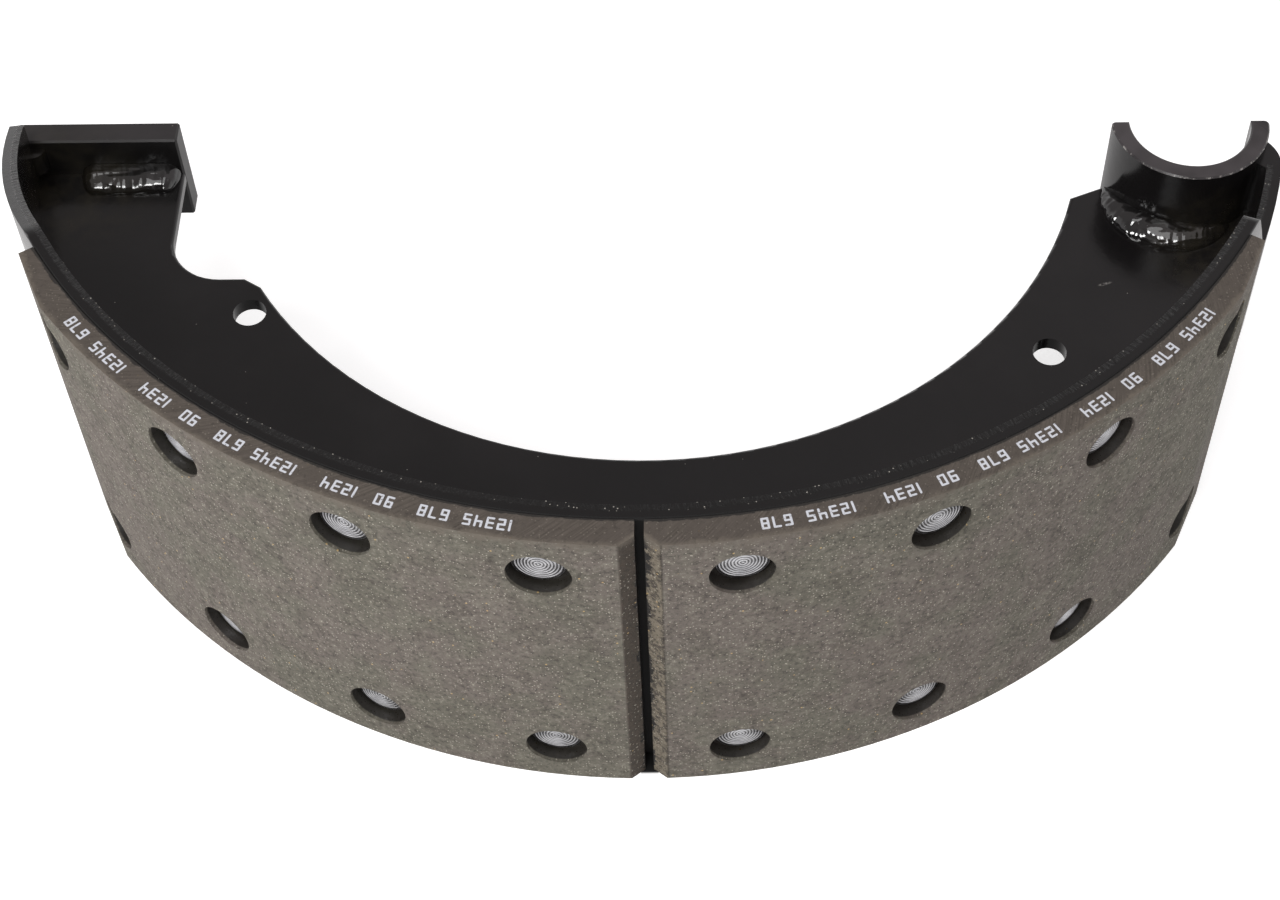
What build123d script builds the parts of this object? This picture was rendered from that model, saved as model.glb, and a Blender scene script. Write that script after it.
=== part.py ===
from build123d import *
from math import asin, atan2, cos, degrees, radians, sin, sqrt
import os

# Riveted drum-brake shoe, lying on its side.  While it is built the drum axis
# is the Z axis and the shoe's lower edges are at Z = 0.  Azimuths are degrees
# measured from -Y towards +X: the gap between the two lining halves is at
# azimuth 0, the cam end is at negative azimuths and the anchor end at positive
# ones.  The last step moves the origin to the bottom centre of the whole shoe.

# ---- driving dimensions, millimetres and degrees ---------------------------
drum_radius = 205.0            # outer face of the linings
shoe_width = 120.0             # full width, along the drum axis
lining_thickness = 8.0
table_thickness = 4.5
web_thickness = 4.5
web_depth = 56.0               # from the table's inner face to the web's inner edge
web_edge_radius = 1.0          # rounded by the press that cut the web
table_edge_radius = 0.8        # the same, on the table's long outer edges

# linings
lining_end_azimuth = 58.0      # at both ends of the shoe
lining_gap = 2.4               # between the two halves, at azimuth 0
gap_chamfer_width = 4.0
gap_chamfer_depth = 3.0
end_taper_angle = 6.0          # length of the run-in taper at each far end
end_taper_thickness = 4.3      # lining left at its far end

# rivets
first_rivet_azimuth = 7.3
last_rivet_margin = 5.7        # degrees from the last rivet to the lining's end
rivets_per_row = 4             # in each lining half
rivet_row_spacing = 88.0
shank_diameter = 8.0
shank_clearance = 0.1          # all round the shank, in lining and table
head_diameter = 14.5
head_thickness = 1.6
head_rim_height = 1.2
counterbore_diameter = 17.5
lining_left_under_head = 3.0
tail_diameter = 12.4
tail_thickness = 1.7
tail_roll_width = 1.5          # sloping rim of the rolled tail
tail_bore_diameter = 5.4
tail_bore_depth = 6.0

# anchor saddle
saddle_azimuth = 80.0          # of its centre
saddle_seat_diameter = 37.0
saddle_wall = 5.5
saddle_height = 54.0
saddle_table_gap = 0.3         # from its wall to the table's inner face
saddle_tip_radius = 1.5
saddle_edge_break = 0.5

# rim table ends
table_end_width = 48.0         # at the cam pad and at the saddle
table_margin_angle = 2.0       # full-width table that shows beyond a lining
anchor_shoulder_angle = 6.3    # from the full width down to the narrow tongue
anchor_tongue_end_angle = 3.5  # the tongue stops this far short of the saddle's centre
shoulder_outer_radius = 4.0
shoulder_inner_radius = 6.0
cam_corner_radius = 12.0

# cam pad
pad_length = 50.0
pad_height = 34.0
pad_thickness = 8.0
pad_offset = 23.8              # from the drum axis to the pad's welded face, along -Y
pad_edge_break = 0.6

# relief in the web beside the cam pad
relief_width = 23.5            # from the pad's end
relief_depth = 43.4            # from the pad's welded face
relief_radius = 16.0
relief_lip_angle = 2.3         # sloping lip between the relief and the inner arc

# web at the anchor end
ledge_angle = 6.1              # from the inner arc's end to the saddle's centre
ledge_drop = 4.2               # from the saddle's centre, at its wall

# return-spring holes
spring_hole_diameter = 10.0
cam_hole_edge_distance = 7.4   # from the web's inner edge to the hole's centre
cam_hole_angle = 3.06          # from the relief's lip
anchor_hole_edge_distance = 18.1
anchor_hole_azimuth = 50.2

# welds
pad_weld_leg_web = 9.5
pad_weld_leg_pad = 5.0
pad_weld_length = 31.0
pad_weld_inset = 0.8           # from the pad's end
pad_weld_end_slope = 2.0
saddle_weld_leg_web = 8.7
saddle_weld_leg_wall = 6.0
corner_tack_radius = 4.2
corner_tack_height = 8.0
corner_tack_inset = 3.0        # from the pad's upper edge
end_weld_bulge = 1.6
end_weld_margin = 1.5          # the end weld stops this far from the table's edges
end_weld_angle = 12.0          # how far round the saddle's wall it reaches

# ---- sizes that follow from them -------------------------------------------
mid_z = shoe_width / 2
beyond = shoe_width / 2        # how far cutting tools reach past what they cut
table_outer = drum_radius - lining_thickness
table_inner = table_outer - table_thickness
web_inner = table_inner - web_depth
web_top = mid_z + web_thickness / 2
web_bottom = mid_z - web_thickness / 2
hole_radius = shank_diameter / 2 + shank_clearance
hole_start = table_inner - table_thickness
head_seat = table_outer + lining_left_under_head
tail_seat = sqrt(table_inner ** 2 - (tail_diameter / 2) ** 2)
end_top = mid_z + table_end_width / 2

full_width_azimuth = lining_end_azimuth + table_margin_angle
shoulder_azimuth = full_width_azimuth + anchor_shoulder_angle
tongue_azimuth = saddle_azimuth - anchor_tongue_end_angle
ledge_azimuth = saddle_azimuth - ledge_angle

saddle_outer = saddle_seat_diameter / 2 + saddle_wall
saddle_distance = table_inner - saddle_table_gap - saddle_outer
saddle_x = saddle_distance * sin(radians(saddle_azimuth))
saddle_y = -saddle_distance * cos(radians(saddle_azimuth))

pad_face_y = -pad_offset
pad_outer_x = -sqrt(table_outer ** 2 - pad_offset ** 2)
pad_inner_x = pad_outer_x + pad_length
web_outer_x = -sqrt(table_inner ** 2 - pad_offset ** 2)
cam_table_azimuth = degrees(asin(pad_offset / table_outer)) - 90
relief_floor_y = pad_face_y - relief_depth
relief_lip_x = pad_inner_x + relief_width
relief_azimuth = degrees(atan2(relief_lip_x, -relief_floor_y)) + relief_lip_angle
cam_hole_azimuth = relief_azimuth + cam_hole_angle


# ---- helpers ---------------------------------------------------------------
def at(radius, azimuth, z=0.0):
    """Point at a radius and azimuth around the drum axis."""
    a = radians(azimuth)
    return Vector(radius * sin(a), -radius * cos(a), z)


def whole(shape):
    """The single solid that a boolean operation left."""
    return shape.solids().sort_by(SortBy.VOLUME)[-1]


def upright(face, z0, z1):
    """Solid between two heights on a face that lies in the XY plane."""
    return extrude(Pos(0, 0, z0) * face, amount=z1 - z0, dir=(0, 0, 1))


def ring_sector(inner, outer, start, end):
    """Flat part of a ring around the drum axis, between two azimuths."""
    mid = (start + end) / 2
    return make_face([
        ThreePointArc(at(inner, start), at(inner, mid), at(inner, end)),
        Line(at(inner, end), at(outer, end)),
        ThreePointArc(at(outer, end), at(outer, mid), at(outer, start)),
        Line(at(outer, start), at(inner, start)),
    ])


def other_side(shape):
    """The same shape on the other side of the web."""
    return mirror(shape, about=Plane.XY.offset(mid_z))


def radial_plane(azimuth, radius, z):
    """Plane facing outwards: its x runs along growing azimuth, its y is up."""
    a = radians(azimuth)
    return Plane(origin=at(radius, azimuth, z), x_dir=(cos(a), sin(a), 0),
                 z_dir=(sin(a), -cos(a), 0))


def radial_drill(radius, azimuth, start_radius, z):
    """Cylinder that cuts straight outwards from a radius."""
    drill = Cylinder(radius, beyond, align=(Align.CENTER, Align.CENTER, Align.MIN))
    return radial_plane(azimuth, start_radius, z) * drill


def in_front_of(y):
    """Block that holds everything on the +Y side of a height y."""
    side = 4 * drum_radius
    block = Box(side, side, side, align=(Align.CENTER, Align.MIN, Align.CENTER))
    return Pos(0, y, 0) * block


def edge_cut(azimuth, outline, rounds):
    """Tool that trims the table's upper edge down to an outline.

    The outline is a list of (azimuth, z) points from left to right, and rounds
    are (index, radius) pairs for its corners.
    """
    flat = [Vector(table_outer * sin(radians(a - azimuth)), z) for a, z in outline]
    ceiling = shoe_width + beyond
    face = make_face(Polyline(*flat, (flat[-1].X, ceiling), (flat[0].X, ceiling), close=True))
    for index, radius in rounds:
        corner = face.vertices().sort_by_distance(flat[index])[0]
        face = fillet(corner, radius)
    return extrude(radial_plane(azimuth, table_inner - table_thickness, 0) * face, amount=beyond)


# ---- rim table -------------------------------------------------------------
last_rivet_azimuth = lining_end_azimuth - last_rivet_margin
rivet_pitch = (last_rivet_azimuth - first_rivet_azimuth) / (rivets_per_row - 1)
half_row = [first_rivet_azimuth + rivet_pitch * i for i in range(rivets_per_row)]
rivet_azimuths = [-a for a in reversed(half_row)] + half_row
rivet_rows = {"upper": mid_z + rivet_row_spacing / 2, "lower": mid_z - rivet_row_spacing / 2}


def rim_table():
    """Rolled rim that carries the linings, narrowed at both ends and drilled."""
    rim = upright(ring_sector(table_inner, table_outer, -90, tongue_azimuth), 0, shoe_width)
    long_edges = [edge for edge in rim.edges().filter_by(GeomType.CIRCLE)
                  if edge.radius > table_outer - table_thickness / 2]
    rim = fillet(long_edges, table_edge_radius)
    rim -= in_front_of(pad_face_y)
    cam_cut = edge_cut(
        (cam_table_azimuth - full_width_azimuth) / 2,
        [(cam_table_azimuth - table_margin_angle, end_top), (cam_table_azimuth, end_top),
         (-full_width_azimuth, shoe_width), (-lining_end_azimuth, shoe_width)],
        [(2, cam_corner_radius)])
    anchor_cut = edge_cut(
        (full_width_azimuth + tongue_azimuth) / 2,
        [(lining_end_azimuth, shoe_width), (full_width_azimuth, shoe_width),
         (shoulder_azimuth, end_top), (tongue_azimuth + table_margin_angle, end_top)],
        [(1, shoulder_outer_radius), (2, shoulder_inner_radius)])
    for tool in (cam_cut, anchor_cut):
        rim -= [tool, other_side(tool)]
    rim -= [radial_drill(hole_radius, azimuth, hole_start, z)
            for z in rivet_rows.values() for azimuth in rivet_azimuths]
    return whole(rim)


# ---- web -------------------------------------------------------------------
saddle_centre = Vector(saddle_x, saddle_y)


def web_plate():
    """Flat C-shaped plate inside the table, with its relief and spring holes."""
    arc_start = at(web_inner, relief_azimuth)
    arc_end = at(web_inner, ledge_azimuth)
    ledge = Vector(saddle_x - saddle_outer, saddle_y - ledge_drop)
    table_end = at(table_inner, tongue_azimuth)
    outer_corner = Vector(web_outer_x, pad_face_y)
    relief_corner = Vector(pad_inner_x, relief_floor_y)
    face = make_face([
        ThreePointArc(arc_start, at(web_inner, 0), arc_end),
        Polyline(arc_end, ledge, saddle_centre, table_end),
        ThreePointArc(table_end, at(table_inner, 0), outer_corner),
        Polyline(outer_corner, (pad_inner_x, pad_face_y), relief_corner,
                 (relief_lip_x, relief_floor_y), arc_start),
    ])
    face = fillet(face.vertices().sort_by_distance(relief_corner)[0], relief_radius)
    plate = upright(face, web_bottom, web_top)
    inner_edges = [edge for edge in plate.edges()
                   if abs(edge.center().Z - mid_z) > web_thickness / 4
                   and edge.center().Y < pad_face_y - web_thickness
                   and (edge @ 0.5 - Vector(0, 0, (edge @ 0.5).Z)).length < table_inner - web_thickness
                   and edge.center().X < ledge.X - web_thickness]
    plate = fillet(inner_edges, web_edge_radius)
    plate -= Pos(saddle_x, saddle_y, mid_z) * Cylinder(saddle_outer, beyond)
    holes = [(cam_hole_edge_distance, cam_hole_azimuth),
             (anchor_hole_edge_distance, anchor_hole_azimuth)]
    plate -= [Pos(at(web_inner + distance, azimuth, mid_z)) * Cylinder(spring_hole_diameter / 2, beyond)
              for distance, azimuth in holes]
    return whole(plate)


# ---- cam pad and anchor saddle ---------------------------------------------
def cam_pad():
    """Flat block across the web's cam end, which the cam pushes on."""
    block = Box(pad_length, pad_thickness, pad_height,
                align=(Align.MIN, Align.MIN, Align.CENTER))
    block = chamfer(block.edges(), pad_edge_break)
    return whole(Pos(pad_outer_x, pad_face_y, mid_z) * block)


def anchor_saddle():
    """Half tube that sits on the anchor pin, open towards +Y."""
    tube = Cylinder(saddle_outer, saddle_height) - Cylinder(saddle_outer - saddle_wall, saddle_height)
    tube -= in_front_of(0)
    tips = [edge for edge in tube.edges().filter_by(Axis.Z)
            if abs(edge.center().X) > saddle_outer - saddle_wall / 2]
    tube = fillet(tips, saddle_tip_radius)
    ends = tube.faces().sort_by(Axis.Z)
    tube = chamfer(ends[0].edges() + ends[-1].edges(), saddle_edge_break)
    return whole(Pos(saddle_x, saddle_y, mid_z) * tube)


# ---- linings ---------------------------------------------------------------
def lining(side):
    """One lining half; side is -1 for the cam end and 1 for the anchor end."""
    edge = lining_gap / 2
    start = degrees(asin(edge / table_outer))
    taper_start = lining_end_azimuth - end_taper_angle
    sky = drum_radius + lining_thickness
    body = upright(ring_sector(table_outer, drum_radius, side * start, side * lining_end_azimuth),
                   0, shoe_width)
    taper = Polyline(at(drum_radius, side * taper_start),
                     at(table_outer + end_taper_thickness, side * lining_end_azimuth),
                     at(sky, side * (lining_end_azimuth + table_margin_angle)),
                     at(sky, side * taper_start), close=True)
    bevel = Polyline((side * edge, -(drum_radius - gap_chamfer_depth)),
                     (side * (edge + gap_chamfer_width), -drum_radius),
                     (side * (edge + gap_chamfer_width), -sky),
                     (-side * gap_chamfer_width, -sky),
                     (-side * gap_chamfer_width, -(drum_radius - gap_chamfer_depth)), close=True)
    for cut in (taper, bevel):
        body -= upright(make_face(cut), -beyond, shoe_width + beyond)
    places = [(azimuth, z) for z in rivet_rows.values() for azimuth in rivet_azimuths
              if azimuth * side > 0]
    body -= [radial_drill(hole_radius, azimuth, hole_start, z) for azimuth, z in places]
    body -= [radial_drill(counterbore_diameter / 2, azimuth, head_seat, z) for azimuth, z in places]
    return whole(body)


# ---- rivets ----------------------------------------------------------------
def rivet_blank():
    """Set semi-tubular rivet along Z: its head's seat is at Z = 0, head upwards."""
    length = head_seat - tail_seat
    end = -(length + tail_thickness)
    mouth = end + tail_roll_width
    bore_top = end + tail_bore_depth
    head_r, shank_r = head_diameter / 2, shank_diameter / 2
    tail_r, bore_r = tail_diameter / 2, tail_bore_diameter / 2
    profile = Polyline((0, bore_top), (0, head_thickness), (head_r, head_rim_height), (head_r, 0),
                       (shank_r, 0), (shank_r, -length), (tail_r, -length),
                       (tail_r - tail_roll_width, end), (bore_r, mouth), (bore_r, bore_top),
                       close=True)
    return whole(revolve(Plane.XZ * make_face(profile), axis=Axis.Z))


# ---- welds -----------------------------------------------------------------
def bead_profile(leg_out, leg_up):
    """Fillet-weld section, root at the origin, slightly full."""
    fullness = 0.56
    return make_face([
        Line((0, 0), (leg_out, 0)),
        ThreePointArc((leg_out, 0), (leg_out * fullness, leg_up * fullness), (0, leg_up)),
        Line((0, leg_up), (0, 0)),
    ])


def pad_weld():
    """Bead along the foot of the cam pad, on top of the web."""
    section = Plane(origin=(pad_inner_x - pad_weld_inset, pad_face_y, web_top),
                    x_dir=(0, -1, 0), z_dir=(-1, 0, 0))
    bead = extrude(section * bead_profile(pad_weld_leg_web, pad_weld_leg_pad), amount=pad_weld_length)
    crests = bead.edges().filter_by(lambda e: e.geom_type != GeomType.LINE)
    return whole(chamfer(crests, pad_weld_end_slope))


def saddle_weld():
    """Bead round the outside of the saddle, on top of the web."""
    table_end = at(table_inner, tongue_azimuth) - saddle_centre
    start = 180 + degrees(atan2(ledge_drop, saddle_outer))
    end = 360 + degrees(atan2(table_end.Y, table_end.X))
    section = Pos(saddle_outer, 0) * bead_profile(saddle_weld_leg_web, saddle_weld_leg_wall)
    bead = revolve(Plane.XZ * section, axis=Axis.Z, revolution_arc=end - start)
    bead = Pos(saddle_x, saddle_y, web_top) * (Rot(0, 0, start) * bead)
    return whole(bead & Cylinder(table_inner, 4 * shoe_width))


def corner_tack():
    """Short upright bead between the table's inner face and the cam pad."""
    top = mid_z + pad_height / 2 - corner_tack_inset
    tack = Pos(web_outer_x, pad_face_y, top) * Cylinder(
        corner_tack_radius, corner_tack_height, align=(Align.CENTER, Align.CENTER, Align.MAX))
    tack &= Cylinder(table_inner, 4 * shoe_width)
    return whole(tack - in_front_of(pad_face_y))


def end_weld():
    """Upright bead that joins the table's anchor end to the saddle."""
    inner, outer = at(table_inner, tongue_azimuth), at(table_outer, tongue_azimuth)
    reach = radians(-end_weld_angle)
    top = saddle_centre + Vector(cos(reach), sin(reach)) * saddle_outer
    middle = (outer + top) / 2 + Vector(end_weld_bulge, 0)
    face = make_face([
        Polyline(top, saddle_centre, inner, outer),
        ThreePointArc(outer, middle, top)])
    half_height = table_end_width / 2 - end_weld_margin
    bead = upright(face, mid_z - half_height, mid_z + half_height)
    return whole(bead - Pos(saddle_x, saddle_y, mid_z) * Cylinder(saddle_outer, saddle_height))


# ---- all pieces, by name ---------------------------------------------------
pieces = {
    "table": rim_table(),
    "web": web_plate(),
    "cam_pad": cam_pad(),
    "anchor_saddle": anchor_saddle(),
    "lining_cam_half": lining(-1),
    "lining_anchor_half": lining(1),
    "saddle_end_weld": end_weld(),
}
for name, bead in (("cam_pad_weld", pad_weld()), ("saddle_weld", saddle_weld()),
                   ("cam_corner_tack", corner_tack())):
    pieces[name + "_upper"] = bead
    pieces[name + "_lower"] = whole(other_side(bead))

blank = rivet_blank()
for row, z in rivet_rows.items():
    for number, azimuth in enumerate(rivet_azimuths, start=1):
        pieces[f"rivet_{row}_{number}"] = radial_plane(azimuth, head_seat, z).location * blank

# ---- origin at the bottom centre of the whole shoe -------------------------
boxes = [piece.bounding_box() for piece in pieces.values()]
low = Vector(*(min(tuple(box.min)[i] for box in boxes) for i in range(3)))
high = Vector(*(max(tuple(box.max)[i] for box in boxes) for i in range(3)))
shift = Pos(-(low.X + high.X) / 2, -(low.Y + high.Y) / 2, -low.Z)

os.makedirs("parts", exist_ok=True)
for name, piece in pieces.items():
    export_step(piece.moved(shift), f"parts/{name}.step")
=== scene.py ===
from math import atan2, cos, pi, radians, sin, sqrt

import bpy
import bmesh
from mathutils import Matrix, Vector, noise


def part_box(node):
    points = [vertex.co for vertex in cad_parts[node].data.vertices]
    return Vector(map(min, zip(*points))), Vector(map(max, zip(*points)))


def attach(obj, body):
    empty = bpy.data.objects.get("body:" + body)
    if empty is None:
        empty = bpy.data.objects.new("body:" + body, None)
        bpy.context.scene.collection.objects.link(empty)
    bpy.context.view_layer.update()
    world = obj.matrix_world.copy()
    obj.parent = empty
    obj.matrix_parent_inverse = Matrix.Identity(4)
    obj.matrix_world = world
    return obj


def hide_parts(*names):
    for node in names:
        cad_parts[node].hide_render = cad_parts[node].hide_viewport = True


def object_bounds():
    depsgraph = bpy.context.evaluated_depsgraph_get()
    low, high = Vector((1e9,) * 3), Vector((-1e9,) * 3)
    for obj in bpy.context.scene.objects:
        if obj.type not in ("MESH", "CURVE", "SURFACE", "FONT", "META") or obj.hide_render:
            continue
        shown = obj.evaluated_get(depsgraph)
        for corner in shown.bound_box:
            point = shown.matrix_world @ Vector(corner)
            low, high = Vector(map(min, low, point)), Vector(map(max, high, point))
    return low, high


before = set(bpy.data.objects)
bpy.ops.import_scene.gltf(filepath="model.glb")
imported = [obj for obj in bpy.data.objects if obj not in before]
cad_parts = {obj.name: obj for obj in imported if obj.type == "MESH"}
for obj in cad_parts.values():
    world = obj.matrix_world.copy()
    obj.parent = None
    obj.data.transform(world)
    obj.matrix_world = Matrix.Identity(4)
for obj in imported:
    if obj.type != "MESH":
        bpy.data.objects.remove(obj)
CAD_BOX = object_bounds()

# ---- sizes, in metres, and places worked out from the frame ----------------
MM = 0.001
TABLE_OUTER = 197.0 * MM        # rim table, from the drum axis
TABLE_INNER = 192.5 * MM
LINING_OUTER = 205.0 * MM
HEAD_SEAT = 200.0 * MM          # where the rivet heads seat, from the drum axis
WEB_HALF = 2.25 * MM            # half the web's thickness
SADDLE_OUTER = 24.0 * MM        # anchor saddle's outer wall, from its own axis
LINING_END = radians(58.0)      # azimuth at which a lining ends

RIVETS = [f"rivet_{row}_{number}" for row in ("upper", "lower") for number in range(1, 9)]


def middle(node):
    """Centre of a CAD node's box."""
    low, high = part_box(node)
    return (Vector(low) + Vector(high)) / 2


SHOE_TOP = Vector(CAD_BOX[1]).z
MID_Z = SHOE_TOP / 2
AXIS = Vector(((middle("rivet_upper_4").x + middle("rivet_upper_5").x) / 2,
               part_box("table")[0][1] + TABLE_OUTER, 0.0))
SADDLE_AXIS = Vector((middle("anchor_saddle").x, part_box("anchor_saddle")[1][1], 0.0))


def at(radius, azimuth, z=0.0):
    """Point round the drum axis; azimuth is in radians from -Y towards +X."""
    return AXIS + Vector((radius * sin(azimuth), -radius * cos(azimuth), z))


# Places on the web's upper face
CAM_CORNER = at(184.0 * MM, radians(-80.5), MID_Z + WEB_HALF)
SADDLE_CORNER = at(183.0 * MM, radians(70.5), MID_Z + WEB_HALF)
SCUFF = at(156.1 * MM, radians(62.1), MID_Z + WEB_HALF)


# ---- camera ----------------------------------------------------------------
def make_camera():
    """The photograph's own camera, as fitted to the shoe's edges."""
    data = bpy.data.cameras.new("camera")
    data.sensor_width = 36.0
    data.lens = 67.26
    data.shift_x = -0.0439
    data.shift_y = -0.0527
    data.clip_end = 20.0
    camera = bpy.data.objects.new("camera", data)
    bpy.context.collection.objects.link(camera)
    right = Vector((0.99995, -0.00710, -0.00739))
    up = Vector((0.01014, 0.79055, 0.61231))
    turn = Matrix((right, up, right.cross(up))).transposed().to_4x4()
    camera.matrix_world = Matrix.Translation(AXIS + Vector((15.56, -537.0, 614.7)) * MM) @ turn
    bpy.context.scene.camera = camera


# ---- node-tree helper ------------------------------------------------------
class Tree:
    """Adds nodes to a tree; inputs are values or the outputs of other nodes."""

    def __init__(self, tree):
        self.tree = tree
        self.tree.nodes.clear()

    def node(self, kind, inputs=(), **settings):
        made = self.tree.nodes.new("ShaderNode" + kind)
        for name, value in settings.items():
            setattr(made, name, value)
        for name, value in dict(inputs).items():
            if isinstance(value, bpy.types.NodeSocket):
                self.tree.links.new(value, made.inputs[name])
            else:
                made.inputs[name].default_value = value
        return made

    def math(self, operation, a, b=0.0, c=0.0, clamp=False):
        made = self.node("Math", {0: a, 1: b, 2: c}, operation=operation, use_clamp=clamp)
        return made.outputs[0]

    def length(self, x, y):
        return self.math("SQRT", self.math("ADD", self.math("MULTIPLY", x, x), self.math("MULTIPLY", y, y)))

    def ramp(self, value, low, high):
        """0 below low, 1 above high, smooth between; low may be the larger."""
        made = self.node("MapRange", {"Value": value, "From Min": low, "From Max": high},
                         interpolation_type="SMOOTHSTEP")
        return made.outputs["Result"]

    def mix(self, factor, a, b):
        made = self.node("Mix", {"Factor": factor, 6: a, 7: b}, data_type="RGBA")
        return made.outputs[2]

    def over(self, base, layer, mask, amount):
        """Lays a colour over another one, by an amount, where the mask is 1."""
        return self.mix(self.math("MULTIPLY", mask, amount), base, layer)

    def noise(self, place, scale, detail=3.0, roughness=0.5, **more):
        made = self.node("TexNoise", {"Vector": place, "Scale": scale, "Detail": detail,
                                      "Roughness": roughness, **more})
        return made.outputs["Fac"]

    def bump(self, height, distance, strength=1.0, normal=None):
        inputs = {"Height": height, "Distance": distance, "Strength": strength}
        if normal is not None:
            inputs["Normal"] = normal
        return self.node("Bump", inputs).outputs["Normal"]


def new_material(name):
    material = bpy.data.materials.new(name)
    material.use_nodes = True
    return material, Tree(material.node_tree)


def drum_places(tree):
    """Sockets for the place in metres: plain, radius, arc length and height."""
    place = tree.node("TexCoord").outputs["Object"]
    from_axis = tree.node("VectorMath", {0: place, 1: tuple(AXIS)}, operation="SUBTRACT").outputs[0]
    x, y, z = tree.node("SeparateXYZ", {0: from_axis}).outputs
    radius = tree.length(x, y)
    azimuth = tree.math("ARCTAN2", x, tree.math("MULTIPLY", y, -1.0))
    arc = tree.math("MULTIPLY", azimuth, TABLE_OUTER)
    return place, radius, arc, z


def upward(tree):
    """1 on faces that look straight up or down, 0 on upright ones."""
    normal = tree.node("NewGeometry").outputs["Normal"]
    z = tree.node("SeparateXYZ", {0: normal}).outputs[2]
    return tree.math("ABSOLUTE", z)


def specks(tree, place, scale, size, share):
    """Small round specks: 1 inside one, in only a share of the cells."""
    cells = tree.node("TexVoronoi", {"Vector": place, "Scale": scale, "Randomness": 1.0})
    inside = tree.ramp(cells.outputs["Distance"], size, size * 0.6)
    chance = tree.node("SeparateColor", {0: cells.outputs["Color"]}).outputs[0]
    return tree.math("MULTIPLY", inside, tree.math("LESS_THAN", chance, share))


# ---- black paint -----------------------------------------------------------
def spot(tree, place, centre, radius):
    """1 near a centre, fading to 0 at a radius."""
    away = tree.node("VectorMath", {0: place, 1: tuple(centre)}, operation="DISTANCE").outputs["Value"]
    return tree.ramp(away, radius, radius * 0.35)


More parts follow.
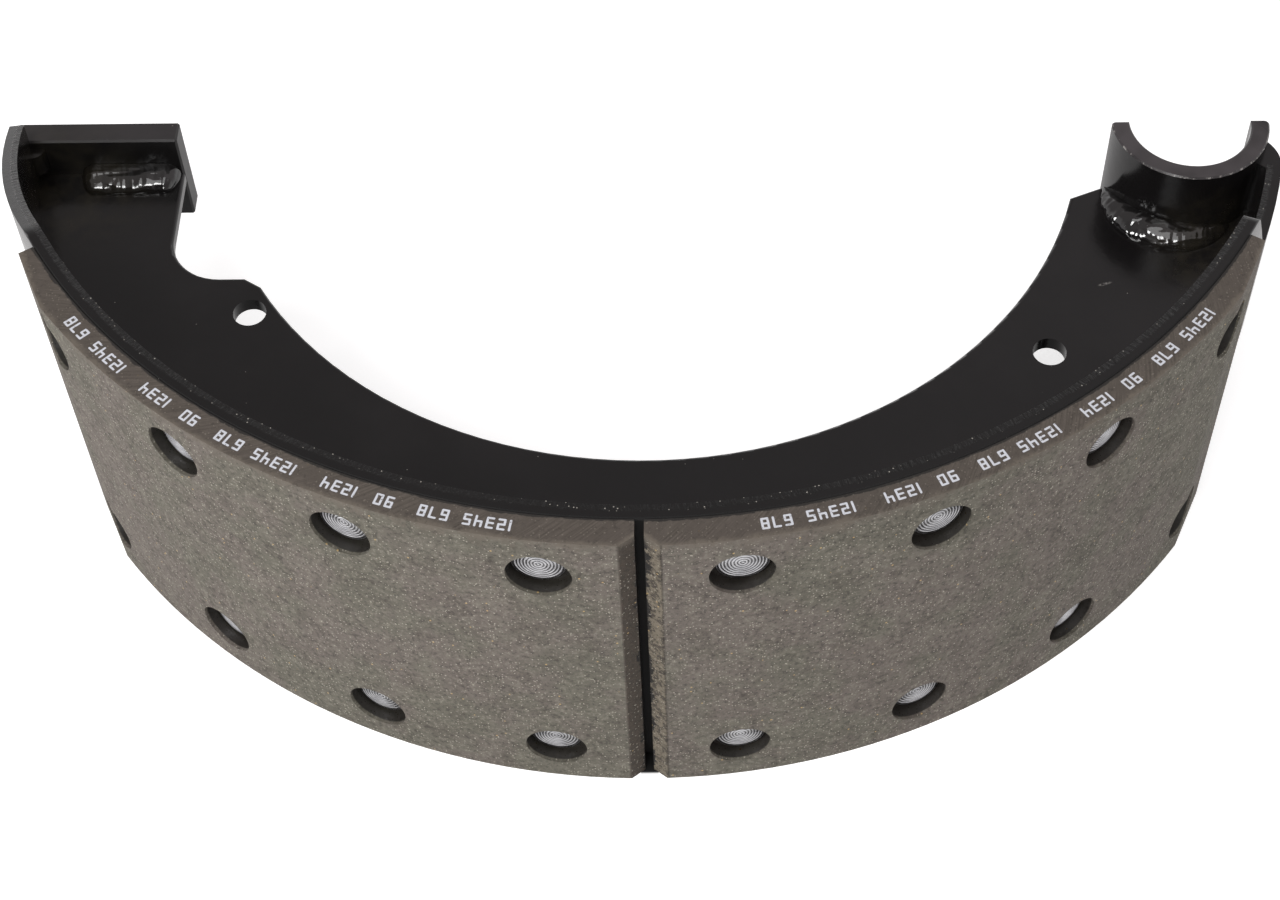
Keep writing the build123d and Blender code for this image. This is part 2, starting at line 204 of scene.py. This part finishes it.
def black_paint(name, sheared=False, crinkle=0.0, haze=0.0, matt=0.0, worn_rim=None):
    """Glossy black dip paint with dust, faint marks and an orange-peel skin.

    sheared tears the inner half of the table's side edges, crinkle is the depth of a bead's
    folds, haze greys the faces that look up or down, matt is added to the roughness, and
    worn_rim gives the centre and radius of a rim with chipped paint.
    """
    material, tree = new_material(name)
    place, radius, arc, z = drum_places(tree)
    up = upward(tree)
    cloud = tree.noise(place, 22.0, 4.0, 0.6)
    skin = tree.noise(place, 420.0, 2.0, 0.5)
    waves = tree.noise(place, 45.0, 2.0, 0.5)
    dust = tree.math("MAXIMUM", specks(tree, place, 240.0, 0.055, 0.16),
                     specks(tree, place, 95.0, 0.04, 0.12))
    colour = tree.mix(tree.ramp(cloud, 0.35, 0.7), (0.0062, 0.0056, 0.0058, 1), (0.0105, 0.0093, 0.0096, 1))
    gloss = tree.math("MULTIPLY_ADD", tree.ramp(cloud, 0.3, 0.75), 0.12, 0.13 + matt)
    # Brownish weld smoke under the paint, in the two welded corners
    smoke = tree.math("MAXIMUM", spot(tree, place, CAM_CORNER, 34.0 * MM),
                      spot(tree, place, SADDLE_CORNER, 26.0 * MM))
    smoke = tree.math("MULTIPLY", smoke, tree.ramp(tree.noise(place, 160.0, 4.0, 0.6), 0.25, 0.8))
    colour = tree.mix(smoke, colour, (0.024, 0.0205, 0.014, 1))
    gloss = tree.math("MULTIPLY_ADD", smoke, 0.12, gloss)
    if haze:
        dulled = tree.math("MULTIPLY", tree.math("MULTIPLY", up, haze), tree.ramp(cloud, 0.2, 0.6))
        colour = tree.mix(dulled, colour, (0.062, 0.054, 0.057, 1))
        gloss = tree.math("MULTIPLY_ADD", dulled, 0.25, gloss)
    colour = tree.over(colour, (0.26, 0.24, 0.22, 1), dust, 0.75)
    gloss = tree.math("MAXIMUM", gloss, tree.math("MULTIPLY", dust, 0.8))
    if worn_rim:
        centre, rim_radius = worn_rim
        level = tree.node("VectorMath", {0: place, 1: (1.0, 1.0, 0.0)}, operation="MULTIPLY").outputs[0]
        out = tree.node("VectorMath", {0: level, 1: tuple(centre)}, operation="DISTANCE").outputs["Value"]
        wear = tree.math("MULTIPLY", tree.ramp(out, rim_radius - 0.5 * MM, rim_radius - 0.2 * MM),
                         tree.ramp(tree.math("ABSOLUTE", tree.math("SUBTRACT", z, MID_Z)),
                                   26.4 * MM, 26.6 * MM))
        wear = tree.math("MULTIPLY", wear, tree.ramp(tree.noise(place, 640.0, 3.0, 0.7), 0.5, 0.6))
        wear = tree.math("MULTIPLY", wear, tree.ramp(tree.noise(place, 70.0, 2.0, 0.6), 0.33, 0.5))
        colour = tree.over(colour, (0.42, 0.4, 0.38, 1), wear, 0.7)
    normal = tree.bump(waves, 0.9 * MM, 0.12)
    normal = tree.bump(skin, 0.12 * MM, 0.25, normal)
    if crinkle:
        slanted = tree.node("Mapping", {"Vector": place, "Rotation": (0.5, 0.4, 0.9),
                                        "Scale": (75.0, 230.0, 230.0)})
        folds = tree.noise(slanted.outputs[0], 1.0, 1.0, 0.45, Distortion=0.5)
        normal = tree.bump(folds, crinkle, 0.8, normal)
        gloss = tree.math("MULTIPLY", gloss, 0.5)
    if sheared:
        flat = tree.math("MULTIPLY", tree.math("GREATER_THAN", up, 0.8),
                         tree.math("GREATER_THAN", radius, TABLE_INNER - 0.2 * MM))
        inner_half = tree.ramp(radius, TABLE_INNER + 2.3 * MM, TABLE_INNER + 1.5 * MM)
        torn = tree.math("MULTIPLY", flat, inner_half)
        along = tree.node("CombineXYZ", {0: tree.math("MULTIPLY", arc, 900.0),
                                         1: tree.math("MULTIPLY", radius, 260.0),
                                         2: tree.math("MULTIPLY", z, 260.0)}).outputs[0]
        chatter = tree.noise(along, 1.0, 3.0, 0.7)
        chips = tree.math("MULTIPLY", torn, tree.ramp(chatter, 0.56, 0.64))
        relief = tree.math("MULTIPLY", tree.math("SUBTRACT", chatter, 0.5), torn)
        normal = tree.bump(relief, 0.6 * MM, 1.0, normal)
        gloss = tree.math("MAXIMUM", gloss, tree.math("MULTIPLY", flat, 0.22))
        colour = tree.over(colour, (0.003, 0.0027, 0.0026, 1), flat, 0.7)
        gloss = tree.math("MAXIMUM", gloss, tree.math("MULTIPLY", torn, 0.28))
        gloss = tree.math("MAXIMUM", gloss, tree.math("MULTIPLY", chips, 0.55))
        glints = tree.math("MULTIPLY", torn, specks(tree, place, 1000.0, 0.22, 0.3))
        colour = tree.over(colour, (0.5, 0.47, 0.42, 1), glints, 0.8)
        # Dull where the linings lie on it
        covered = tree.math("LESS_THAN", tree.math("ABSOLUTE", arc), LINING_END * TABLE_OUTER)
        covered = tree.math("MULTIPLY", covered, tree.math("GREATER_THAN", radius, TABLE_OUTER - 0.7 * MM))
        gloss = tree.math("MAXIMUM", gloss, tree.math("MULTIPLY", covered, 0.85))
    else:
        # A pale oval scuff on the web, near the anchor end
        turned = tree.node("Mapping", {"Vector": place, "Location": tuple(SCUFF),
                                       "Rotation": (0.0, 0.0, 0.3)}, vector_type="TEXTURE").outputs[0]
        stretched = tree.node("VectorMath", {0: turned, 1: (0.35, 1.4, 1.0)},
                              operation="MULTIPLY").outputs[0]
        scuff = spot(tree, stretched, (0.0, 0.0, 0.0), 0.95 * MM)
        scuff = tree.math("MULTIPLY", scuff, tree.ramp(tree.noise(place, 900.0, 2.0, 0.5), 0.35, 0.6))
        colour = tree.over(colour, (0.4, 0.38, 0.36, 1), scuff, 0.55)
    surface = tree.node("BsdfPrincipled", {
        "Base Color": colour, "Roughness": gloss, "Normal": normal, "IOR": 1.5,
        "Specular IOR Level": 1.0 if crinkle else 0.5})      # beads carry the thickest paint
    tree.node("OutputMaterial", {"Surface": surface.outputs[0]})
    return material


# ---- plain numbers printed on the linings' upper edges ---------------------
DIGITS = {"0": "abcdef", "1": "bc", "2": "abged", "3": "abgcd", "4": "fgbc", "5": "afgcd",
          "6": "afgedc", "7": "abc", "8": "abcdefg", "9": "abcdfg", " ": ""}
STROKES = {"a": (0, 1, 1, 0), "b": (1, 0.5, 0, 1), "c": (1, -0.5, 0, 1), "d": (0, -1, 1, 0),
           "e": (-1, -0.5, 0, 1), "f": (-1, 0.5, 0, 1), "g": (0, 0, 1, 0)}
PRINTED = "12345 678  90 1234  "        # repeats along each lining
PRINT_CELLS = 49
CELL = 2.95 * MM
PRINT_RADIUS = 201.1 * MM
PRINT_START = (radians(-8.6), radians(49.8))     # on the cam half and on the anchor half
HALF_WIDE, HALF_TALL, STROKE = 0.76 * MM, 1.45 * MM, 0.31 * MM


def printed_numbers(tree, place, radius, azimuth):
    """1 inside the strokes of the printed digits, seen from above."""
    anchor_half = tree.math("GREATER_THAN", azimuth, 0.0)
    start = tree.math("MULTIPLY_ADD", anchor_half, PRINT_START[1] - PRINT_START[0], PRINT_START[0])
    run = tree.math("MULTIPLY", tree.math("SUBTRACT", start, azimuth), PRINT_RADIUS / CELL)
    index = tree.math("FLOOR", run)
    inside = tree.math("MULTIPLY", tree.math("GREATER_THAN", index, -0.5),
                       tree.math("LESS_THAN", index, PRINT_CELLS - 0.5))
    power = tree.math("POWER", 2.0, tree.math("MODULO", index, len(PRINTED)))
    x = tree.math("MULTIPLY", tree.math("SUBTRACT", tree.math("SUBTRACT", run, index), 0.5), CELL)
    y = tree.math("SUBTRACT", radius, PRINT_RADIUS)
    ink = 0.0
    for stroke, (cx, cy, wide, tall) in STROKES.items():
        cells = float(sum(2 ** i for i, digit in enumerate(PRINTED) if stroke in DIGITS[digit]))
        dx = tree.math("ABSOLUTE", tree.math("SUBTRACT", x, cx * HALF_WIDE))
        dy = tree.math("ABSOLUTE", tree.math("SUBTRACT", y, cy * HALF_TALL))
        dx = tree.math("MAXIMUM", tree.math("SUBTRACT", dx, wide * HALF_WIDE), 0.0)
        dy = tree.math("MAXIMUM", tree.math("SUBTRACT", dy, tall * HALF_TALL / 2), 0.0)
        away = tree.length(dx, dy)
        on = tree.math("MODULO", tree.math("FLOOR", tree.math("DIVIDE", cells, power)), 2.0)
        drawn = tree.math("MULTIPLY", on, tree.ramp(away, STROKE * 1.15, STROKE * 0.8))
        ink = tree.math("MAXIMUM", ink, drawn)
    worn = tree.ramp(tree.noise(place, 1100.0, 3.0, 0.7), 0.3, 0.42)
    return tree.math("MULTIPLY", tree.math("MULTIPLY", ink, worn), inside)


# ---- friction lining -------------------------------------------------------
def friction_lining(name):
    """Moulded friction composite: ground outer face, milled side edges."""
    material, tree = new_material(name)
    place, radius, arc, z = drum_places(tree)
    azimuth = tree.math("DIVIDE", arc, TABLE_OUTER)
    from_middle = tree.math("ABSOLUTE", tree.math("SUBTRACT", z, MID_Z))
    top = tree.math("MULTIPLY", tree.math("GREATER_THAN", upward(tree), 0.8),
                    tree.math("GREATER_THAN", from_middle, MID_Z - 0.3 * MM))
    not_top = tree.math("SUBTRACT", 1.0, top)
    # How far below the lining's worked outer surface a place is. The end taper drops it by
    # 3.9 mm, and the bevel, from 5.1 to 1.1 mm beside the gap's middle, by 3 mm.
    end_taper = tree.ramp(tree.math("ABSOLUTE", azimuth), radians(52.0), LINING_END)
    gap_side = tree.math("ABSOLUTE", arc)
    gap_bevel = tree.math("DIVIDE", tree.math("SUBTRACT", 5.1 * MM, gap_side), 4.0 * MM, clamp=True)
    face = tree.math("MULTIPLY_ADD", gap_bevel, -3.0 * MM,
                     tree.math("MULTIPLY_ADD", end_taper, -3.9 * MM, LINING_OUTER))
    below = tree.math("SUBTRACT", face, radius)
    wall = tree.math("MULTIPLY", tree.ramp(below, 0.8 * MM, 1.2 * MM), not_top)
    # Ground: clouds, mottles and grain
    cloud = tree.noise(place, 16.0, 4.0, 0.6)
    tint = tree.noise(place, 48.0, 3.0, 0.65)
    mottle = tree.noise(place, 120.0, 4.0, 0.75)
    grain = tree.noise(place, 620.0, 4.0, 0.8)
    tint = tree.math("MULTIPLY_ADD", cloud, 0.5, tree.math("MULTIPLY", tint, 0.5))
    colour = tree.mix(tree.ramp(tint, 0.44, 0.57), (0.126, 0.117, 0.092, 1), (0.142, 0.12, 0.104, 1))
    colour = tree.over(colour, (0.078, 0.067, 0.052, 1), tree.ramp(mottle, 0.5, 0.62), 0.45)
    colour = tree.over(colour, (0.19, 0.176, 0.142, 1), tree.ramp(mottle, 0.48, 0.36), 0.35)
    colour = tree.over(colour, (0.26, 0.24, 0.195, 1), tree.ramp(grain, 0.53, 0.64), 0.55)
    colour = tree.over(colour, (0.03, 0.026, 0.02, 1), tree.ramp(grain, 0.47, 0.37), 0.6)
    # Rough strips beside the gap, painted as lit and shaded copies of one surface: darker and browner on
    # the cam side (painted shade), paler on the other (painted light)
    strip = tree.math("MULTIPLY", tree.ramp(gap_side, 5.6 * MM, 4.9 * MM), not_top)
    side = tree.math("GREATER_THAN", arc, 0.0)
    strip_colour = tree.mix(side, (0.066, 0.048, 0.036, 1), (0.2, 0.17, 0.125, 1))
    strip_colour = tree.mix(tree.ramp(grain, 0.55, 0.42), strip_colour, (0.05, 0.04, 0.03, 1))
    colour = tree.over(colour, strip_colour, strip, 0.9)
    # Painted shade: ragged near-black patches on the faces nearest the gap's middle
    ragged = tree.math("MULTIPLY_ADD", mottle, -9.0 * MM, gap_side)
    gap_edge_shade = tree.math("MULTIPLY", tree.ramp(ragged, -3.0 * MM, -3.4 * MM), not_top)
    colour = tree.mix(gap_edge_shade, colour, (0.012, 0.01, 0.009, 1))
    # Metal chips: pale ones and a few of brass
    pale = tree.math("MAXIMUM", specks(tree, place, 1150.0, 0.28, 0.4),
                     specks(tree, place, 560.0, 0.17, 0.3))
    brass = specks(tree, place, 360.0, 0.13, 0.2)
    colour = tree.over(colour, (0.52, 0.48, 0.4, 1), pale, 0.7)
    colour = tree.over(colour, (0.55, 0.38, 0.16, 1), brass, 0.85)
    metal = tree.math("MULTIPLY", tree.math("MAXIMUM", pale, brass), 0.3)
    # Side edges are darker and browner, with slanting milling scratches
    slant = tree.node("CombineXYZ", {0: tree.math("MULTIPLY", tree.math("ADD", arc, radius), 1500.0),
                                     1: tree.math("MULTIPLY", tree.math("SUBTRACT", arc, radius), 60.0),
                                     2: tree.math("MULTIPLY", z, 60.0)}).outputs[0]
    scratch = tree.noise(slant, 1.0, 2.0, 0.5)
    edge_colour = tree.mix(tree.ramp(scratch, 0.3, 0.7), (0.064, 0.052, 0.042, 1), (0.108, 0.089, 0.075, 1))
    edge_colour = tree.mix(tree.ramp(mottle, 0.4, 0.62), edge_colour, (0.082, 0.067, 0.056, 1))
    edge_colour = tree.over(edge_colour, (0.3, 0.27, 0.22, 1), pale, 0.3)
    # Its arris with the outer face is worn: each side takes something of the other's colour
    rounding = tree.ramp(tree.math("MULTIPLY_ADD", mottle, -6.0 * MM, below), -1.4 * MM, -3.4 * MM)
    edge_colour = tree.over(edge_colour, (0.165, 0.14, 0.112, 1), rounding, 0.75)
    edge_colour = tree.over(edge_colour, (0.03, 0.025, 0.02, 1), tree.ramp(grain, 0.45, 0.3), 0.5)
    # Painted shadow: a ragged dark line in the crease where the lining meets the table
    seam_shadow = tree.math("MULTIPLY_ADD", mottle, -2.2 * MM, tree.math("SUBTRACT", radius, TABLE_OUTER))
    edge_colour = tree.mix(tree.ramp(seam_shadow, -0.35 * MM, -0.7 * MM), edge_colour, (0.012, 0.01, 0.009, 1))
    ink = printed_numbers(tree, place, radius, azimuth)
    ink = tree.math("MULTIPLY", ink, tree.math("GREATER_THAN", z, MID_Z))
    edge_colour = tree.mix(ink, edge_colour, (0.7, 0.72, 0.78, 1))
    near_top = tree.ramp(tree.math("MULTIPLY_ADD", mottle, 16.0 * MM, z),
                         SHOE_TOP + 4.0 * MM, SHOE_TOP + 9.0 * MM)
    milled = tree.math("MAXIMUM", top, tree.math("MULTIPLY", near_top, 0.9))
    colour = tree.over(colour, edge_colour, milled, 0.93)
    # Bored walls and the gap's sides are smooth, and coloured near black as painted shade in these recesses
    colour = tree.over(colour, (0.014, 0.012, 0.01, 1), wall, 0.9)
    height = tree.math("MULTIPLY_ADD", mottle, 0.5, tree.math("MULTIPLY", grain, 0.6))
    normal = tree.bump(height, 0.32 * MM, tree.math("MULTIPLY_ADD", wall, -0.6, 0.8))
    normal = tree.bump(tree.math("MULTIPLY", height, strip), 1.2 * MM, 0.8, normal)
    normal = tree.bump(tree.math("MULTIPLY", scratch, top), 0.1 * MM, 0.7, normal)
    rough = tree.math("MULTIPLY_ADD", metal, -1.0, tree.math("MULTIPLY_ADD", wall, -0.36, 0.8))
    surface = tree.node("BsdfPrincipled", {
        "Base Color": colour, "Roughness": rough, "Metallic": metal, "Normal": normal})
    tree.node("OutputMaterial", {"Surface": surface.outputs[0]})
    return material


# ---- rivet metal -----------------------------------------------------------
HEAD_PIP, RING_PITCH, RINGS = 0.55, 0.88, 7       # millimetres and a count


def rivet_metal(name):
    """Bright turned aluminium, with painted shade darkening the grooves between the turned rings."""
    material, tree = new_material(name)
    own = tree.node("TexCoord").outputs["Object"]
    x, y, z = tree.node("SeparateXYZ", {0: own}).outputs
    radius = tree.length(x, y)
    turn = tree.math("MULTIPLY_ADD", radius, 2 * pi / (RING_PITCH * MM), -2 * pi * HEAD_PIP / RING_PITCH)
    groove = tree.ramp(tree.math("COSINE", turn), 0.1, 0.95)
    groove = tree.math("MULTIPLY", groove, tree.math("GREATER_THAN", z, 0.9 * MM))
    place = tree.node("NewGeometry").outputs["Position"]
    stain = tree.noise(place, 260.0, 3.0, 0.6)
    fine = tree.noise(place, 2200.0, 2.0, 0.6)
    colour = tree.mix(tree.ramp(stain, 0.35, 0.7), (0.5, 0.5, 0.52, 1), (0.72, 0.72, 0.74, 1))
    # Painted shade: the grooves between the turned rings are coloured dark
    colour = tree.over(colour, (0.06, 0.06, 0.066, 1), groove, 0.8)
    rough = tree.math("MULTIPLY_ADD", stain, 0.2, 0.2)
    normal = tree.bump(fine, 0.03 * MM, 0.5)
    surface = tree.node("BsdfPrincipled", {
        "Base Color": colour, "Roughness": rough, "Metallic": 1.0, "Normal": normal})
    tree.node("OutputMaterial", {"Surface": surface.outputs[0]})
    return material


# ---- mesh helpers ----------------------------------------------------------
def add_piece(name, mesh, material, slot, *nodes, place=Matrix()):
    """Puts a mesh into the scene in place of CAD nodes."""
    piece = bpy.data.objects.new(name, mesh)
    piece.matrix_world = place
    bpy.context.collection.objects.link(piece)
    mesh.materials.append(material)
    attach(piece, "root")
    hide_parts(*nodes)
    return piece


def grid_mesh(name, rows):
    """Smooth mesh on rows of points; each row is a closed loop, and the two ends are capped."""
    mesh = bpy.data.meshes.new(name)
    build = bmesh.new()
    loops = [[build.verts.new(point) for point in row] for row in rows]
    for one, two in zip(loops, loops[1:]):
        for i in range(len(one)):
            j = (i + 1) % len(one)
            build.faces.new((one[i], one[j], two[j], two[i]))
    build.faces.new(loops[0][::-1])
    build.faces.new(loops[-1])
    bmesh.ops.remove_doubles(build, verts=build.verts, dist=1e-7)
    bmesh.ops.recalc_face_normals(build, faces=build.faces)
    build.to_mesh(mesh)
    build.free()
    mesh.shade_smooth()
    return mesh


# ---- rivets ----------------------------------------------------------------
def rivet_profile():
    """(radius, height) points of a set rivet; the head seats at height 0."""
    head_r, rim, top = 7.2, 1.15, 1.5
    groove = 0.2
    points = [(0.0, top), (0.3, top - 0.03), (HEAD_PIP, top - 0.2)]
    steps = 10
    for step in range(RINGS * steps + 1):
        radius = HEAD_PIP + step / steps * RING_PITCH
        wave = 0.5 - 0.5 * cos(2 * pi * step / steps)
        crown = top - (top - rim) * (radius / head_r) ** 2
        points.append((radius, crown - groove + groove * wave ** 0.6))
    points += [(head_r - 0.15, rim), (head_r, rim - 0.25), (head_r, 0.3), (head_r - 0.2, 0.0),
               (4.0, 0.0), (4.0, -7.4)]
    seat = -(HEAD_SEAT / MM - sqrt((TABLE_INNER / MM) ** 2 - 6.2 ** 2))
    tail = [(4.0, seat), (5.9, seat), (6.15, seat - 0.3), (6.1, seat - 0.8), (5.6, seat - 1.35),
            (4.9, seat - 1.62), (4.2, seat - 1.6), (3.6, seat - 1.3), (3.1, seat - 0.8),
            (2.8, seat - 0.2), (2.7, seat + 0.8), (2.7, seat + 4.0), (0.0, seat + 4.4)]
    return points + tail


def make_rivets(material):
    """Each CAD rivet gets its turned rings and rolled tail."""
    segments = 56
    profile = [(r * MM, h * MM) for r, h in rivet_profile()]
    for index, node in enumerate(RIVETS):
        rows = []
        for radius, height in profile:
            row = []
            for step in range(segments):
                angle = 2 * pi * step / segments
                burr = noise.noise(Vector((cos(angle) * 2, sin(angle) * 2, index))) * 0.12 * MM
                out = max(radius, 1e-9) + (burr * (radius / (7.2 * MM)) ** 4 if height > 0 else 0.0)
                row.append(Vector((out * cos(angle), out * sin(angle), height)))
            rows.append(row)
        mesh = grid_mesh(f"{node}_turned", rows)
        centre = middle(node) - AXIS
        azimuth = atan2(centre.x, -centre.y)
        outward = Vector((sin(azimuth), -cos(azimuth), 0.0))
        sideways = Vector((cos(azimuth), sin(azimuth), 0.0))
        turn = Matrix((sideways, outward.cross(sideways), outward)).transposed().to_4x4()
        place = Matrix.Translation(at(HEAD_SEAT, azimuth, centre.z)) @ turn
        add_piece(f"{node}_turned", mesh, material, "rivet_metal", node, place=place)


# ---- weld beads ------------------------------------------------------------
def bead_rows(path, seed, run_in, blunt):
    """Rows of points for a bead that grows to its full size over run_in.

    path gives (root, outwards, up, leg_out, leg_up, run) for each row, where run is the
    length along the bead, in metres. A small blunt makes blunt ends.
    """
    across = 18                     # steps from the web to the wall
    least = 0.04                    # share of its full size at its very ends
    rows = []
    total = path[-1][5]
    for root, outwards, up, leg_out, leg_up, run in path:
        end = min(run, total - run)
        fade = least + (1 - least) * (1 - (1 - min(1.0, end / run_in)) ** 2) ** blunt
        row = [root - outwards * 0.2 * MM - up * 0.2 * MM]
        for step in range(across + 1):
            t = step / across
            angle = t * pi / 2
            bulge = 0.92 + 0.2 * sin(2 * angle) ** 2
            u, v = cos(angle) ** 1.5 * leg_out * bulge, sin(angle) ** 1.5 * leg_up * bulge
            if 0 < step < across:
                crest = sin(2 * angle)
                wave = run / MM + 2.2 * crest
                ripple = sin(wave * 2 * pi / 2.6 + 2.4 * noise.noise(Vector((run / MM * 0.3, seed, 0.0))))
                lump = noise.noise(Vector((wave * 0.16, t * 1.6, seed)))
                fine = noise.noise(Vector((wave * 0.8, t * 4.0, seed + 5)))
                lift = (0.03 * ripple + 0.45 * lump + 0.14 * fine) * crest * MM
                u, v = u + lift * cos(angle), v + lift * sin(angle)
            wander = 1 + 0.05 * noise.noise(Vector((run / MM * 0.25, seed + 9, t)))
            row.append(root + outwards * u * fade * wander + up * v * fade * wander)
        rows.append(row)
    return rows


def pad_bead_path(side):
    """Along the foot of the cam pad; side is 1 above the web, -1 below."""
    low, high = (Vector(v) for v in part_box("cam_pad_weld_upper"))
    up = Vector((0.0, 0.0, side))
    steps = 120
    path = []
    for step in range(steps + 1):
        run = (high.x - low.x) * step / steps
        root = Vector((high.x - run, high.y, MID_Z + side * WEB_HALF))
        path.append((root, Vector((0.0, -1.0, 0.0)), up, high.y - low.y, high.z - low.z, run))
    return path


def saddle_bead_path(side):
    """Round the foot of the anchor saddle; side is 1 above the web, -1 below."""
    centre = SADDLE_AXIS + Vector((0.0, 0.0, MID_Z + side * WEB_HALF))
    leg_out, leg_up = 8.7 * MM, 6.0 * MM
    start, stop = radians(191.0), radians(303.0)
    steps = 300
    path = []
    for step in range(steps + 1):
        angle = start + (stop - start) * step / steps
        outwards = Vector((cos(angle), sin(angle), 0.0))
        root = centre + outwards * SADDLE_OUTER
        room = TABLE_INNER - (root - AXIS).to_2d().length
        reach = min(leg_out, max(1.2 * MM, room + 0.9 * MM))
        path.append((root, outwards, Vector((0.0, 0.0, side)), reach, leg_up,
                     (stop - start) * step / steps * (SADDLE_OUTER + leg_out / 2)))
    return path


def make_beads(material):
    """Each long weld gets its ripples and its run-out ends."""
    for side, row in ((1, "upper"), (-1, "lower")):
        for kind, path, run_in, blunt in (("cam_pad_weld", pad_bead_path(side), 5.0 * MM, 0.5),
                                          ("saddle_weld", saddle_bead_path(side), 26.0 * MM, 0.9)):
            node = f"{kind}_{row}"
            mesh = grid_mesh(f"{node}_bead", bead_rows(path, len(kind) + 3.7 * side, run_in, blunt))
            add_piece(f"{node}_bead", mesh, material, "black_paint", node)


# ---- studio ----------------------------------------------------------------
def make_floor():
    """Pale floor that keeps the shoe's shadow and is white to the camera, with painted shade in the slot
    between the linings.
    """
    material, tree = new_material("floor")
    rays = tree.node("LightPath")
    mirrored = tree.math("MAXIMUM", rays.outputs["Is Glossy Ray"], rays.outputs["Is Transmission Ray"])
    seen = tree.math("MULTIPLY_ADD", mirrored, 0.25, rays.outputs["Is Camera Ray"], clamp=True)
    # Painted shade: the slot of floor between the two linings is coloured near black and gets no glow
    _, radius, arc, _ = drum_places(tree)
    slot = tree.math("MULTIPLY", tree.ramp(radius, LINING_OUTER - 1.2 * MM, LINING_OUTER - 2.2 * MM),
                     tree.math("LESS_THAN", tree.math("ABSOLUTE", arc), 2.5 * MM))
    slot = tree.math("MULTIPLY", slot, tree.math("GREATER_THAN", radius, TABLE_INNER))
    seen = tree.math("MULTIPLY", seen, tree.math("SUBTRACT", 1.0, slot))
    matt = tree.node("BsdfDiffuse", {"Color": tree.mix(slot, (0.86, 0.86, 0.86, 1), (0.02, 0.02, 0.02, 1))})
    glow = tree.node("Emission", {"Color": (1, 1, 1, 1), "Strength": tree.math("MULTIPLY", seen, 0.55)})
    both = tree.node("AddShader", {0: matt.outputs[0], 1: glow.outputs[0]})
    tree.node("OutputMaterial", {"Surface": both.outputs[0]})
    reach = 8.0
    corners = [(-reach, -reach, 0), (reach, -reach, 0), (reach, reach, 0), (-reach, reach, 0)]
    mesh = bpy.data.meshes.new("floor")
    mesh.from_pydata(corners, [], [(0, 1, 2, 3)])
    mesh.materials.append(material)
    floor = bpy.data.objects.new("floor", mesh)
    bpy.context.collection.objects.link(floor)


def make_world():
    """White to the camera; elsewhere a bright horizon under a dim ceiling."""
    world = bpy.data.worlds.new("studio")
    world.use_nodes = True
    bpy.context.scene.world = world
    tree = Tree(world.node_tree)
    direction = tree.node("TexCoord").outputs["Generated"]
    sideways, depth, height = tree.node("SeparateXYZ", {0: direction}).outputs
    ceiling = tree.mix(tree.ramp(sideways, -0.3, 0.3), (0.35, 0.33, 0.33, 1), (0.5, 0.47, 0.475, 1))
    ceiling = tree.mix(tree.ramp(depth, 0.0, -0.5), ceiling, (0.28, 0.27, 0.265, 1))
    horizon = tree.mix(tree.ramp(sideways, -0.7, -0.2), (0.68, 0.67, 0.67, 1), (0.95, 0.95, 0.95, 1))
    room = tree.mix(tree.ramp(height, 0.15, 0.6), horizon, ceiling)
    rays = tree.node("LightPath")
    colour = tree.mix(rays.outputs["Is Camera Ray"], room, (1, 1, 1, 1))
    background = tree.node("Background", {"Color": colour, "Strength": 1.0})
    tree.node("OutputWorld", {"Surface": background.outputs[0]})


def softbox(name, place, aim, size, power):
    """A rectangular lamp that faces a point; size in metres, power in watts."""
    data = bpy.data.lights.new(name, "AREA")
    data.shape = "RECTANGLE"
    data.size, data.size_y = size
    data.energy = power
    lamp = bpy.data.objects.new(name, data)
    bpy.context.collection.objects.link(lamp)
    lamp.location = place
    lamp.rotation_euler = (Vector(aim) - Vector(place)).to_track_quat("-Z", "Y").to_euler()


def make_lights():
    """A soft key on the left, one above the front, and two weak fills."""
    heart = (0.0, 0.0, 0.06)
    softbox("softbox_left", (-1.35, -0.95, 0.72), heart, (0.55, 0.4), 13.0)
    softbox("softbox_front", (-0.35, -1.15, 1.7), heart, (0.5, 0.4), 9.0)
    softbox("softbox_right", (1.4, -0.7, 0.9), heart, (0.8, 0.8), 0.8)
    softbox("softbox_top", (0.0, -0.5, 1.6), heart, (1.0, 0.8), 4.5)


# ---- dress the model -------------------------------------------------------
def dress():
    """Gives every CAD piece its material, and the rivets and beads their finer meshes."""
    paint = black_paint("black_paint")
    hazy = black_paint("black_paint_hazy", haze=0.4, matt=0.22)
    dull = black_paint("black_paint_dull", haze=1.25, worn_rim=(SADDLE_AXIS, SADDLE_OUTER))
    bead = black_paint("black_paint_bead", crinkle=1.6 * MM)
    paints = {"table": black_paint("black_paint_sheared", sheared=True),
              "cam_pad": hazy, "anchor_saddle": dull}
    lining = friction_lining("friction_lining")
    metal = rivet_metal("rivet_metal")
    for node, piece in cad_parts.items():
        if node.startswith("lining"):
            material = lining
        elif node.startswith("rivet"):
            material = metal
        else:
            material = paints.get(node, paint)
        for slot in piece.material_slots:
            slot.material = material
    make_rivets(metal)
    make_beads(bead)


make_camera()
make_world()
make_floor()
make_lights()
dress()

bpy.context.scene.view_settings.view_transform = "Standard"
